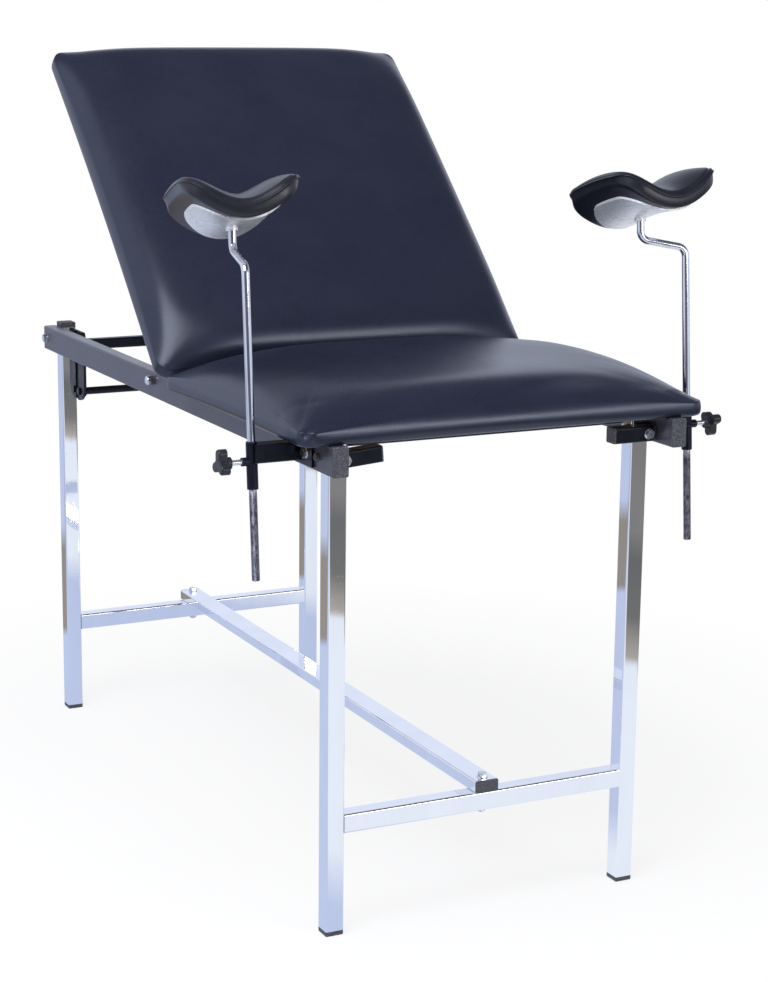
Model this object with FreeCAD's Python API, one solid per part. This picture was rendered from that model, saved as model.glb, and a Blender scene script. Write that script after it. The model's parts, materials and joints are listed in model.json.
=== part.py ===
import FreeCAD, Part
import math
import os
from FreeCAD import Vector

# Gynecological examination table: chrome legs, painted side rails, a fixed seat cushion,
# a backrest propped by a swinging bail, and two knee crutches on clamped rods.
# Origin on the floor, midway between the four legs. +X to the right seen from the foot end,
# +Y towards the head end, +Z up. All sizes in millimetres.

# Clearances
fit_gap = 0.05            # radial, turning and sliding fits
bolt_gap = 0.2            # radial, bolts in drilled holes
soft_gap = 0.3            # round cushions and loose plugs
swing_gap = 0.3           # beside plates that swing

# Legs and lower frame
leg_size = 30.0
leg_wall = 1.5
tube_corner = 3.0
leg_pitch_x = 522.4
leg_pitch_y = 1237.6
leg_top_z = 778.0
foot_lip = 8.0
plug_depth = 18.0
plug_bolt_gap = 1.0        # between a plug and the bolt beyond it
leg_cap_height = 10.0
cross_rail_size = 30.0
cross_rail_top_z = 194.0
stretcher_width = 40.0
stretcher_height = 20.0
end_cap_thickness = 3.0

# Side rails
rail_width = 25.5
rail_height = 45.0
rail_top_z = 780.0
rail_front_y = -699.5
rail_rear_y = 630.0
rail_cap_thickness = 4.0
rail_bolt_drop = 22.5     # bolt axis under the rail's top
rail_plug_lead = 17.0     # plugged hole ahead of the front leg

# Bolts
bolt_d = 8.0
bolt_head_width = 13.0
bolt_head_height = 5.5
washer_d = 17.0
washer_thickness = 1.6
screw_d = 5.0
screw_head_d = 9.0
screw_head_height = 2.5

# Ties under the cushions
tie_size = 20.0
front_tie_y = -588.0
front_tie_drop = 3.0      # under the rail's top

# Paper roll holder between the rear legs
roll_plate_thickness = 5.0
roll_plate_radius = 32.0
roll_plate_y = 593.0
roll_plate_low_z = 635.0
roll_plate_top_z = 772.0
roll_screw_z = 681.0
roll_rod_d = 14.5
roll_rod_y = 589.0
roll_rod_z = 653.0
roll_collar_d = 22.0
roll_collar_width = 6.0
roll_rod_overhang = 4.0
rear_tie_y = 583.0
rear_tie_z = 747.0

# Cushions and boards
pad_width = 690.0
pad_thickness = 68.0
pad_corner = 24.0
pad_draw_in = 1.5         # how far the sides bow inwards between the corners
board_thickness = 12.0
board_inset = 14.0
seat_front_y = -693.0
seat_rear_y = -136.0
seat_bracket_size = 30.0
seat_bracket_thickness = 3.0
seat_bracket_places = (-520.0, -230.0)

# Backrest, drawn lying flat and then turned up about its hinge
back_angle = 43.0
hinge_y = -93.0
hinge_z = 765.0
back_board_rise = 24.0    # hinge axis to the board's underside
back_pad_start = 8.0      # hinge axis to the lower edge of the cushion
back_pad_length = 740.0
back_bar_width = 30.0
back_bar_height = 15.0
back_bar_end = 640.0
back_cross_bar_place = 520.0
back_screw_shares = (0.05, 0.5, 0.9)
lug_thickness = 6.0
lug_radius = 14.0
hinge_flange_thickness = 3.0
hinge_flange_d = 24.0
hinge_pin_d = 10.0
hinge_clip_thickness = 2.0
hinge_clip_d = 16.0

# Prop bail: pivots on the rails as far behind the hinge as its arms are long,
# so it stands at twice the backrest's angle and its bar runs straight along the racks
prop_pivot_y = 30.0
prop_arm_width = 26.0
prop_side_gap = 0.5       # prop arm to the back bar that folds down beside it
prop_bar_d = 14.0
prop_bolt_d = 10.0
prop_bolt_head_d = 16.0
prop_bolt_head_height = 7.0
prop_spacer_d = 15.0
prop_spacer_thickness = 5.0
rack_thickness = 5.0
rack_place_x = 150.0
rack_web = 9.0            # metal round the slot
rack_notch_angles = (0.0, 14.0, 28.0, 43.0, 55.0)
rack_notch_depth = 3.0
rack_slot_gap = 0.5

# Basin bars on the front legs
basin_bar_size = 25.0
basin_bar_inner_x = 199.0
basin_bar_rail_gap = 2.0
basin_plug_depth = 6.0
basin_bar_z = 750.5
basin_bar_tilt_left = 4.6

# Stirrup arms and sleeves
arm_size = 28.0
arm_wall = 2.0
arm_flange_thickness = 4.0
arm_flange_length = 64.0
arm_flange_height = 36.0
pad_rod_gap = 28.0        # between the seat cushion's side and the rod
sleeve_y = -588.0         # sleeve axis at the arm's mid height
sleeve_lean = 4.7         # towards the head end
sleeve_d = 17.0
sleeve_wall = 1.5
sleeve_top_rise = 15.0
sleeve_low_drop = 53.0
liner_flange_d = 16.0
liner_flange_height = 2.0
boss_d = 13.0
boss_length = 8.0
boss_drop = 12.0

# Clamp knobs
clamp_screw_d = 8.0
clamp_screw_shown = 17.5
knob_hub_d = 18.0
knob_hub_length = 7.0
knob_thickness = 14.0
knob_lobe_d = 15.0
knob_lobe_reach = 14.0
knob_lobes = 3

# Stirrup rods
rod_d = 12.0
rod_low_z = (569.0, 558.0)        # left, right
rod_bend_z = (1028.5, 1026.5)     # where the straight part ends
rod_offset = 75.4
rod_offset_rise = 14.0
rod_offset_heading = (81.3, 166.3)
rod_bend_radius = 16.0
rod_stub = 28.3

# Knee crutches: a thick pad whose wings rise from a trough and curl over, bowed along its length
crutch_width = 181.0
crutch_length = 198.0
crutch_depth = 33.0
crutch_curl = 1.39                # how far the wings flatten out again
crutch_thickness = 25.0
crutch_thinning = 0.5             # share of it lost at the wings' tips
crutch_crown = 16.0               # added in the middle of the upper face
crutch_bow = 8.4
crutch_flare = 1.026              # width at the ends against the middle
crutch_corner = 31.0              # seen from above
crutch_tilt = 15.4                # foot end raised
crutch_roll = -1.2
crutch_yaw = (-10.6, -0.4)        # left, right
plate_thickness = 3.0
plate_width = 128.0
plate_length = 160.0
plate_corner = 52.0
plate_boss_d = 18.0
plate_boss_height = 5.0
plate_boss_place = 15.0           # behind the pad's middle

# Derived places
leg_x = leg_pitch_x / 2
leg_y = leg_pitch_y / 2
leg_inner_x = leg_x - leg_size / 2
rail_inner_x = leg_x + leg_size / 2
rail_outer_x = rail_inner_x + rail_width
rail_bolt_z = rail_top_z - rail_bolt_drop
rail_plug_y = -leg_y - leg_size / 2 - rail_plug_lead
cross_rail_z = cross_rail_top_z - cross_rail_size / 2
stretcher_z = cross_rail_top_z + stretcher_height / 2
stretcher_end_y = leg_y + leg_size / 2
prop_length = prop_pivot_y - hinge_y
lug_outer_x = rail_inner_x - hinge_flange_thickness - swing_gap
lug_inner_x = lug_outer_x - lug_thickness
prop_arm_thickness = lug_thickness - prop_side_gap
prop_inner_x = lug_outer_x - prop_arm_thickness
back_bar_x = lug_inner_x - back_bar_width / 2
seat_length = seat_rear_y - seat_front_y
seat_mid_y = (seat_rear_y + seat_front_y) / 2
arm_z = rail_bolt_z
sleeve_x = pad_width / 2 + pad_rod_gap + rod_d / 2
lean = math.radians(sleeve_lean)
rod_axis = Vector(0, math.sin(lean), math.cos(lean))

X = Vector(1, 0, 0)
Y = Vector(0, 1, 0)
Z = Vector(0, 0, 1)
SIDES = (("left", -1), ("right", 1))


def export(name, *solids):
    shape = solids[0] if len(solids) == 1 else Part.makeCompound(list(solids))
    shape.exportStep("parts/" + name + ".step")


def box(low, high):
    size = high - low
    return Part.makeBox(size.x, size.y, size.z, low)


def cylinder(start, axis, diameter, length):
    return Part.makeCylinder(diameter / 2, length, start, axis)


def moved(shape, offset):
    copy = shape.copy()
    copy.translate(offset)
    return copy


def turned(shape, centre, axis, degrees):
    copy = shape.copy()
    copy.rotate(centre, axis, degrees)
    return copy


def rounded_outline(width, depth, corner):
    """A rectangle with round corners, in the XY plane about the Z axis."""
    w = width / 2
    d = depth / 2
    k = corner * (1 - math.sqrt(0.5))
    edges = []
    marks = ((1, -1), (1, 1), (-1, 1), (-1, -1))
    for sx, sy in marks:
        before = Vector(sx * w, sy * (d - corner), 0)
        after = Vector(sx * (w - corner), sy * d, 0)
        if sx * sy < 0:
            before, after = after, before
        middle = Vector(sx * (w - k), sy * (d - k), 0)
        edges.append((before, middle, after))
    wire = []
    for i, (before, middle, after) in enumerate(edges):
        wire.append(Part.Arc(before, middle, after).toShape())
        wire.append(Part.makeLine(after, edges[(i + 1) % 4][0]))
    return Part.Wire(wire)


def hollow_bar(width, depth, length, wall, corner):
    """A rectangular tube along +Z, centred on the Z axis."""
    outer = Part.Face(rounded_outline(width, depth, corner))
    inner = Part.Face(rounded_outline(width - 2 * wall, depth - 2 * wall, corner - wall))
    return outer.cut(inner).extrude(Vector(0, 0, length))


def along_x(shape, start):
    """Lay a bar drawn along +Z so that it runs along +X from start, its depth kept along Y."""
    return moved(turned(shape, Vector(), Y, 90), start)


def along_y(shape, start):
    """Lay a bar drawn along +Z so that it runs along +Y from start, its width kept along X."""
    return moved(turned(shape, Vector(), X, -90), start)


def plug(width, depth, lip, depth_in, wall, corner):
    """A tube's end plug along +Z: a lip with eased edges and a hollow spigot above it."""
    head = Part.Face(rounded_outline(width, depth, corner)).extrude(Vector(0, 0, lip))
    low_edges = [e for e in head.Edges if e.BoundBox.ZMax < lip / 10]
    head = head.makeFillet(min(2.0, lip / 2), low_edges)
    inset = 2 * (wall + bolt_gap)
    spigot = Part.Face(rounded_outline(width - inset, depth - inset, corner - wall))
    return head.fuse(moved(spigot.extrude(Vector(0, 0, depth_in)), Vector(0, 0, lip))).removeSplitter()


def hexagon(across_flats, height):
    radius = across_flats / math.sqrt(3)
    points = []
    for i in range(7):
        turn = math.radians(60 * i)
        points.append(Vector(radius * math.cos(turn), radius * math.sin(turn), 0))
    prism = Part.Face(Part.makePolygon(points)).extrude(Vector(0, 0, height))
    crown = Part.makeCone(radius * 1.45, radius * 0.85, height * 1.7)
    return prism.common(crown)


def hex_bolt(start, axis, shank_length):
    """A bolt whose washer rests at start, with its shank along axis and its head behind."""
    head = moved(hexagon(bolt_head_width, bolt_head_height), Vector(0, 0, washer_thickness))
    washer = Part.makeCylinder(washer_d / 2, washer_thickness)
    shank = Part.makeCylinder(bolt_d / 2, shank_length, Vector(), Vector(0, 0, -1))
    return aimed(head.fuse(washer).fuse(shank).removeSplitter(), start, axis * -1)


def hex_nut(start, axis):
    """A nut that rests on a face at start and rises along axis, bored for its bolt."""
    nut = hexagon(bolt_head_width, bolt_head_height)
    nut = nut.cut(Part.makeCylinder(bolt_d / 2 + fit_gap, bolt_head_height))
    return aimed(nut, start, axis)


def aimed(shape, start, axis):
    """Turn a shape drawn along +Z so that it points along axis, and set it at start."""
    copy = shape.copy()
    copy.Placement = FreeCAD.Placement(start, FreeCAD.Rotation(Z, axis))
    return copy


def drilled(shape, start, axis, diameter, length):
    return shape.cut(cylinder(start, axis, diameter, length))


def back_turn(shape):
    """Raise a piece that was drawn with the backrest lying flat."""
    return turned(shape, Vector(0, hinge_y, hinge_z), X, back_angle)


def cushion_outline(half_x, half_y, corner, draw_in, z):
    """A cushion's outline: round corners, and sides that bow inwards between them."""
    k = corner * (1 - math.sqrt(0.5))
    marks = ((1, -1), (1, 1), (-1, 1), (-1, -1))
    arcs = []
    for sx, sy in marks:
        side = Vector(sx * half_x, sy * (half_y - corner), z)
        end = Vector(sx * (half_x - corner), sy * half_y, z)
        middle = Vector(sx * (half_x - k), sy * (half_y - k), z)
        arcs.append((end, middle, side) if sx * sy < 0 else (side, middle, end))
    pulls = (Vector(half_x - draw_in, 0, z), Vector(0, half_y - draw_in, z),
             Vector(draw_in - half_x, 0, z), Vector(0, draw_in - half_y, z))
    edges = []
    for i, (first, middle, last) in enumerate(arcs):
        edges.append(Part.Arc(first, middle, last).toShape())
        edges.append(Part.Arc(last, pulls[i], arcs[(i + 1) % 4][0]).toShape())
    return Part.Wire(edges)


# How a cushion closes in over its height: share of the thickness, inset from the widest outline
# as a share of the thickness, and how round its corners become there
CUSHION_LEVELS = ((0.0, 0.08, 1.0), (0.08, 0.02, 1.0), (0.18, 0.0, 1.0), (0.345, 0.01, 1.05),
                  (0.44, 0.06, 1.4), (0.53, 0.147, 1.9), (0.65, 0.294, 2.5), (0.73, 0.42, 2.8),
                  (0.81, 0.588, 3.1), (0.905, 0.88, 3.4), (0.974, 1.32, 3.5), (0.995, 1.76, 3.5),
                  (1.0, 2.6, 3.5))


def cushion(width, length, thickness):
    """A crowned cushion about the Z axis, resting on z = 0, with a pocket for its board."""
    wires = []
    for level, inset, rounding in CUSHION_LEVELS:
        pull = inset * thickness
        wires.append(cushion_outline(width / 2 - pull, length / 2 - pull, pad_corner * rounding,
                                     pad_draw_in, level * thickness))
    body = Part.makeLoft(wires, True, True)
    pocket = Part.Face(rounded_outline(width - 2 * (board_inset - soft_gap),
                                       length - 2 * (board_inset - soft_gap), pad_corner))
    return body.cut(pocket.extrude(Vector(0, 0, board_thickness)))


def board(width, length):
    face = Part.Face(rounded_outline(width - 2 * board_inset, length - 2 * board_inset, pad_corner))
    return face.extrude(Vector(0, 0, board_thickness))


def wood_screw(start, axis, grip):
    """A dome-headed screw whose head rests at start, driven along axis."""
    head = Part.makeCylinder(screw_head_d / 2, screw_head_height)
    head = head.makeFillet(screw_head_height * 0.8, [head.Edges[0]])
    shank = Part.makeCylinder(screw_d / 2, grip, Vector(), Vector(0, 0, -1))
    return aimed(head.fuse(shank).removeSplitter(), start, axis * -1)


def legs():
    low = foot_lip
    tube = hollow_bar(leg_size, leg_size, leg_top_z - low, leg_wall, tube_corner)
    caps = []
    top_caps = []
    for end, sy in (("front", -1), ("rear", 1)):
        for side, sx in SIDES:
            place = Vector(sx * leg_x, sy * leg_y, low)
            leg = moved(tube, place)
            leg = drilled(leg, Vector(sx * leg_inner_x - sx, sy * leg_y, rail_bolt_z), X * sx,
                          bolt_d + 2 * bolt_gap, leg_size + 2)
            if sy > 0:
                hole = Vector(sx * (leg_inner_x - 1), sy * leg_y, roll_screw_z)
                leg = drilled(leg, hole, X * sx, screw_d + 2 * bolt_gap, leg_wall + 2)
            else:
                hole = Vector(sx * leg_x, sy * leg_y - leg_size / 2 - 1, basin_bar_z)
                leg = drilled(leg, hole, Y, bolt_d + 2 * bolt_gap, leg_wall + 2)
            export(end + "_leg_" + side, leg)
            caps.append(moved(plug(leg_size, leg_size, foot_lip, plug_depth, leg_wall, tube_corner),
                              Vector(place.x, place.y, 0)))
            if sy > 0:
                cap = plug(leg_size, leg_size, leg_cap_height, top_spigot_depth(), leg_wall, tube_corner)
                cap = turned(cap, Vector(), X, 180)
                top_caps.append(moved(cap, Vector(place.x, place.y, leg_top_z + leg_cap_height)))
    export("foot_caps", *caps)
    export("leg_top_caps", *top_caps)


def top_spigot_depth():
    """The upper plugs stop short of the bolts through the rails and legs."""
    return leg_top_z - rail_bolt_z - bolt_d / 2 - plug_bolt_gap


def lower_frame():
    length = 2 * leg_inner_x
    for name, sy in (("front_cross_rail", -1), ("rear_cross_rail", 1)):
        rail = hollow_bar(cross_rail_size, cross_rail_size, length, leg_wall, tube_corner)
        rail = along_x(rail, Vector(-leg_inner_x, sy * leg_y, cross_rail_z))
        top = Vector(0, sy * leg_y, cross_rail_top_z + 1)
        export(name, drilled(rail, top, Z * -1, bolt_d + 2 * bolt_gap, cross_rail_size + 2))

    bar = hollow_bar(stretcher_width, stretcher_height, 2 * stretcher_end_y, leg_wall, tube_corner)
    bar = along_y(bar, Vector(0, -stretcher_end_y, stretcher_z))
    bolts = []
    caps = []
    stretcher_top_z = cross_rail_top_z + stretcher_height
    grip = stretcher_height + cross_rail_size
    cap = plug(stretcher_width, stretcher_height, end_cap_thickness, leg_size / 3, leg_wall, tube_corner)
    for sy in (-1, 1):
        top = Vector(0, sy * leg_y, stretcher_top_z)
        bar = drilled(bar, top + Z, Z * -1, bolt_d + 2 * bolt_gap, stretcher_height + 2)
        bolts.append(hex_bolt(top, Z * -1, grip + bolt_head_height + 2))
        bolts.append(hex_nut(top - Z * grip, Z * -1))
        laid = turned(cap, Vector(), X, -90 if sy < 0 else 90)
        caps.append(moved(laid, Vector(0, sy * (stretcher_end_y + end_cap_thickness), stretcher_z)))
    export("stretcher", bar)
    export("stretcher_caps", *caps)
    export("stretcher_bolts", *bolts)


def side_rails():
    length = rail_rear_y - rail_front_y
    bolts = []
    nuts = []
    caps = []
    plugs = []
    front_cap = plug(rail_width, rail_height, rail_cap_thickness, plug_depth, leg_wall, tube_corner)
    rear_depth = rail_rear_y - leg_y - bolt_d / 2 - plug_bolt_gap
    rear_cap = plug(rail_width, rail_height, rail_cap_thickness, rear_depth, leg_wall, tube_corner)
    for side, sx in SIDES:
        middle_x = sx * (rail_inner_x + rail_width / 2)
        rail = hollow_bar(rail_width, rail_height, length, leg_wall, tube_corner)
        rail = along_y(rail, Vector(middle_x, rail_front_y, rail_top_z - rail_height / 2))
        outward = X * sx
        for sy in (-1, 1):
            seat = rail_outer_x + (arm_flange_thickness if sy < 0 else 0)
            start = Vector(sx * seat, sy * leg_y, rail_bolt_z)
            inner_seat = leg_inner_x - (roll_plate_thickness if sy > 0 else 0)
            grip = seat - inner_seat
            rail = drilled(rail, start, outward * -1, bolt_d + 2 * bolt_gap, grip)
            bolts.append(hex_bolt(start, outward * -1, grip + bolt_head_height + 2))
            nuts.append(hex_nut(start - outward * grip, outward * -1))
        pivot = Vector(sx * (rail_outer_x + 1), prop_pivot_y, hinge_z)
        rail = drilled(rail, pivot, outward * -1, prop_bolt_d + 2 * bolt_gap, rail_width + 2)
        hole = Vector(sx * rail_outer_x, rail_plug_y, rail_bolt_z)
        rail = drilled(rail, hole + outward, outward * -1, bolt_d, leg_wall + 1 + bolt_gap)
        plugs.append(hole_plug(hole, outward))
        for place in seat_bracket_places:
            start = Vector(sx * (rail_inner_x - 1), place, bracket_screw_z())
            rail = drilled(rail, start, outward, screw_d + 2 * bolt_gap, leg_wall + 2)
        export("side_rail_" + side, rail)
        front = moved(turned(front_cap, Vector(), X, -90),
                      Vector(middle_x, rail_front_y - rail_cap_thickness, rail_top_z - rail_height / 2))
        rear = moved(turned(rear_cap, Vector(), X, 90),
                     Vector(middle_x, rail_rear_y + rail_cap_thickness, rail_top_z - rail_height / 2))
        caps += [front, rear]
    export("rail_bolts", *bolts)
    export("rail_nuts", *nuts)
    export("rail_end_caps", *caps)
    export("rail_hole_plugs", *plugs)


def hole_plug(start, outward):
    head = Part.makeCylinder(bolt_d * 0.75, bolt_head_height)
    head = head.makeFillet(bolt_head_height * 0.4, [head.Edges[0]])
    stem = Part.makeCylinder(bolt_d / 2 - bolt_gap, leg_wall, Vector(), Vector(0, 0, -1))
    return aimed(head.fuse(stem).removeSplitter(), start, outward)


def bracket_screw_z():
    return rail_top_z - seat_bracket_size * 0.6


def ties():
    bar = hollow_bar(tie_size, tie_size, 2 * rail_inner_x, leg_wall, tube_corner)
    front_z = rail_top_z - front_tie_drop - tie_size / 2
    export("front_tie_bar", along_x(bar, Vector(-rail_inner_x, front_tie_y, front_z)))
    inner = leg_inner_x - roll_plate_thickness
    bar = hollow_bar(tie_size, tie_size, 2 * inner, leg_wall, tube_corner)
    export("rear_tie_bar", along_x(bar, Vector(-inner, rear_tie_y, rear_tie_z)))


def roll_holder():
    """Two hanger plates on the rear legs and the rod that turns in them."""
    screws = []
    for side, sx in SIDES:
        low = roll_plate_low_z + roll_plate_radius
        left = roll_plate_y - roll_plate_radius
        right = roll_plate_y + roll_plate_radius
        arc = Part.Arc(Vector(0, left, low), Vector(0, roll_plate_y, roll_plate_low_z),
                       Vector(0, right, low)).toShape()
        corners = (Vector(0, right, low), Vector(0, right, roll_plate_top_z),
                   Vector(0, left, roll_plate_top_z), Vector(0, left, low))
        lines = [Part.makeLine(corners[i], corners[i + 1]) for i in range(3)]
        plate = Part.Face(Part.Wire([arc] + lines)).extrude(Vector(roll_plate_thickness, 0, 0))
        top_edges = [e for e in plate.Edges if e.BoundBox.ZMin > roll_plate_top_z - 1
                     and e.BoundBox.YLength < 1]
        plate = plate.makeFillet(roll_plate_radius / 4, top_edges)
        shift = -leg_inner_x if sx < 0 else leg_inner_x - roll_plate_thickness
        plate = moved(plate, Vector(shift, 0, 0))
        hole = Vector(sx * (leg_inner_x + 1), roll_rod_y, roll_rod_z)
        plate = drilled(plate, hole, X * -sx, roll_rod_d + 2 * fit_gap, roll_plate_thickness + 2)
        face = Vector(sx * (leg_inner_x - roll_plate_thickness), leg_y, roll_screw_z)
        plate = drilled(plate, face - X * sx, X * sx, screw_d + 2 * bolt_gap, roll_plate_thickness + 2)
        screws.append(wood_screw(face, X * sx, roll_plate_thickness + 2 * leg_wall))
        face.z = rail_bolt_z
        plate = drilled(plate, face - X * sx, X * sx, bolt_d + 2 * bolt_gap, roll_plate_thickness + 2)
        export("roll_plate_" + side, plate)
    export("roll_plate_screws", *screws)

    reach = leg_inner_x + roll_rod_overhang
    rod = cylinder(Vector(-reach, roll_rod_y, roll_rod_z), X, roll_rod_d, 2 * reach)
    rod = rod.makeChamfer(1.0, [e for e in rod.Edges if e.Curve.TypeId == "Part::GeomCircle"])
    inner = leg_inner_x - roll_plate_thickness - swing_gap
    for sx in (-1, 1):
        start = Vector(sx * inner, roll_rod_y, roll_rod_z)
        rod = rod.fuse(cylinder(start, X * -sx, roll_collar_d, roll_collar_width))
    export("roll_rod", rod.removeSplitter())


def hinge_pins():
    """Flanged pins on the rails' inner faces, each with a clip that keeps the lug on."""
    pins = []
    for _, sx in SIDES:
        inward = X * -sx
        face = Vector(sx * rail_inner_x, hinge_y, hinge_z)
        reach = hinge_flange_thickness + lug_thickness + 2 * swing_gap + hinge_clip_thickness
        flange = cylinder(face, inward, hinge_flange_d, hinge_flange_thickness)
        shaft = cylinder(face, inward, hinge_pin_d, reach)
        clip = cylinder(face + inward * (reach - hinge_clip_thickness), inward, hinge_clip_d,
                        hinge_clip_thickness)
        pins.append(flange.fuse(shaft).fuse(clip).removeSplitter())
    export("hinge_pins", *pins)


def prop():
    """The bail that holds the backrest up: two arms on bolts through the rails, and a bar."""
    pivot = Vector(0, prop_pivot_y, hinge_z)
    bolts = []
    spacers = []
    for side, sx in SIDES:
        inward = X * -sx
        seat = pivot + X * sx * (rail_outer_x + prop_spacer_thickness)
        reach = seat.x * sx - lug_inner_x + swing_gap + hinge_clip_thickness
        head = Part.makeCylinder(prop_bolt_head_d / 2, prop_bolt_head_height)
        head = head.makeFillet(prop_bolt_head_height * 0.4, [head.Edges[0]])
        bolt = aimed(head, seat, X * sx).fuse(cylinder(seat, inward, prop_bolt_d, reach))
        clip = cylinder(seat + inward * (reach - hinge_clip_thickness), inward, hinge_clip_d,
                        hinge_clip_thickness)
        collar = cylinder(pivot + X * sx * rail_inner_x, inward, hinge_flange_d, hinge_flange_thickness)
        bolts.append(bolt.fuse(clip).fuse(collar).removeSplitter())
        spacer = cylinder(seat, inward, prop_spacer_d, prop_spacer_thickness)
        spacers.append(drilled(spacer, seat, inward, prop_bolt_d + 2 * fit_gap, prop_spacer_thickness))

        half = prop_arm_width / 2
        start = pivot + X * (sx * lug_outer_x)
        arm = cylinder(start, inward, prop_arm_width, prop_arm_thickness)
        arm = arm.fuse(cylinder(start + Y * prop_length, inward, prop_arm_width, prop_arm_thickness))
        low_x = min(start.x, start.x - sx * prop_arm_thickness)
        arm = arm.fuse(box(Vector(low_x, prop_pivot_y, hinge_z - half),
                           Vector(low_x + prop_arm_thickness, prop_pivot_y + prop_length, hinge_z + half)))
        arm = drilled(arm.removeSplitter(), start, inward, prop_bolt_d + 2 * fit_gap, prop_arm_thickness)
        export("prop_arm_" + side, turned(arm, pivot, X, 2 * back_angle))
    export("prop_pivot_bolts", *bolts)
    export("prop_spacers", *spacers)
    bar = cylinder(Vector(-prop_inner_x, prop_pivot_y + prop_length, hinge_z), X, prop_bar_d, 2 * prop_inner_x)
    export("prop_bar", turned(bar, pivot, X, 2 * back_angle))


def rack():
    """A plate under the backrest whose slot takes the prop's bar, with a notch for each angle."""
    reach = 2 * prop_length
    places = [reach * math.cos(math.radians(a)) for a in rack_notch_angles]
    first = min(places) - prop_bar_d / 2 - rack_slot_gap
    last = max(places) + prop_bar_d / 2 + rack_slot_gap
    half = prop_bar_d / 2 + rack_slot_gap
    body = box(Vector(0, first - rack_web, -half - rack_web),
               Vector(rack_thickness, last + rack_web, back_board_rise))
    corners = [e for e in body.Edges if e.BoundBox.ZMax < -half and e.BoundBox.YLength < 0.1]
    body = body.makeFillet(rack_web, corners)
    slot = box(Vector(-1, min(places), -half), Vector(rack_thickness + 1, max(places), half))
    for place in (min(places), max(places)):
        slot = slot.fuse(cylinder(Vector(-1, place, 0), X, 2 * half, rack_thickness + 2))
    for place in places:
        slot = slot.fuse(cylinder(Vector(-1, place, rack_notch_depth), X, 2 * half, rack_thickness + 2))
    return moved(body.cut(slot.removeSplitter()), Vector(0, hinge_y, hinge_z))


def backrest():
    start_y = hinge_y + back_pad_start
    middle_y = start_y + back_pad_length / 2
    under_z = hinge_z + back_board_rise
    panel = back_turn(moved(board(pad_width, back_pad_length), Vector(0, middle_y, under_z)))
    export("back_pad", back_turn(moved(cushion(pad_width, back_pad_length, pad_thickness),
                                       Vector(0, middle_y, under_z + soft_gap))))

    bar_start = hinge_y + back_pad_start + board_inset
    bar_length = back_bar_end - back_pad_start - board_inset
    bar_z = under_z - back_bar_height / 2
    screws = []
    for side, sx in SIDES:
        bar = hollow_bar(back_bar_width, back_bar_height, bar_length, leg_wall, tube_corner)
        bar = along_y(bar, Vector(sx * back_bar_x, bar_start, bar_z))
        low_x = min(sx * lug_inner_x, sx * lug_outer_x)
        lug = cylinder(Vector(low_x, hinge_y, hinge_z), X, 2 * lug_radius, lug_thickness)
        tail = box(Vector(low_x, hinge_y, under_z - back_bar_height),
                   Vector(low_x + lug_thickness, bar_start + 3 * lug_radius, under_z - 1))
        neck = box(Vector(low_x, hinge_y, hinge_z - lug_radius / 2),
                   Vector(low_x + lug_thickness, hinge_y + lug_radius, under_z - 1))
        lug = lug.fuse(tail).fuse(neck).removeSplitter()
        lug = drilled(lug, Vector(low_x, hinge_y, hinge_z), X, hinge_pin_d + 2 * fit_gap, lug_thickness)
        bar = bar.fuse(lug).removeSplitter()
        for share in back_screw_shares:
            low = Vector(sx * back_bar_x, bar_start + share * bar_length, under_z - back_bar_height)
            bar = drilled(bar, low - Z, Z, screw_d + 2 * bolt_gap, back_bar_height + 2)
            screw = back_turn(wood_screw(low, Z, back_bar_height + board_thickness * 0.7))
            panel = panel.cut(screw)
            screws.append(screw)
        export("back_bar_" + side, back_turn(bar))
        plate = moved(rack(), Vector(sx * rack_place_x - rack_thickness / 2, 0, 0))
        export("ratchet_rack_" + side, back_turn(plate))
    inner = back_bar_x - back_bar_width / 2
    cross = hollow_bar(back_bar_height, back_bar_width, 2 * inner, leg_wall, tube_corner)
    cross = along_x(cross, Vector(-inner, hinge_y + back_cross_bar_place, bar_z))
    export("back_cross_bar", back_turn(cross))
    export("back_board", panel)
    export("back_screws", *screws)


def seat():
    middle = Vector(0, seat_mid_y, rail_top_z)
    panel = moved(board(pad_width, seat_length), middle)
    export("seat_pad", moved(cushion(pad_width, seat_length, pad_thickness), middle + Z * soft_gap))
    brackets = []
    screws = []
    size = seat_bracket_size
    thick = seat_bracket_thickness
    for _, sx in SIDES:
        for place in seat_bracket_places:
            corner_x = sx * rail_inner_x
            upright = box(Vector(min(corner_x, corner_x - sx * thick), place - size / 2, rail_top_z - size),
                          Vector(max(corner_x, corner_x - sx * thick), place + size / 2, rail_top_z))
            shelf = box(Vector(min(corner_x, corner_x - sx * size), place - size / 2, rail_top_z - thick),
                        Vector(max(corner_x, corner_x - sx * size), place + size / 2, rail_top_z))
            bracket = upright.fuse(shelf).removeSplitter()
            side_start = Vector(corner_x - sx * thick, place, bracket_screw_z())
            up_start = Vector(corner_x - sx * size * 0.6, place, rail_top_z - thick)
            side_screw = wood_screw(side_start, X * sx, thick + 2 * leg_wall)
            up_screw = wood_screw(up_start, Z, thick + board_thickness * 0.7)
            hole_d = screw_d + 2 * bolt_gap
            bracket = drilled(bracket, side_start - X * sx, X * sx, hole_d, thick + 2)
            brackets.append(drilled(bracket, up_start - Z, Z, hole_d, thick + 2))
            panel = panel.cut(up_screw)
            screws += [side_screw, up_screw]
    export("seat_board", panel)
    export("seat_brackets", *brackets)
    export("seat_screws", *screws)


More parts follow.
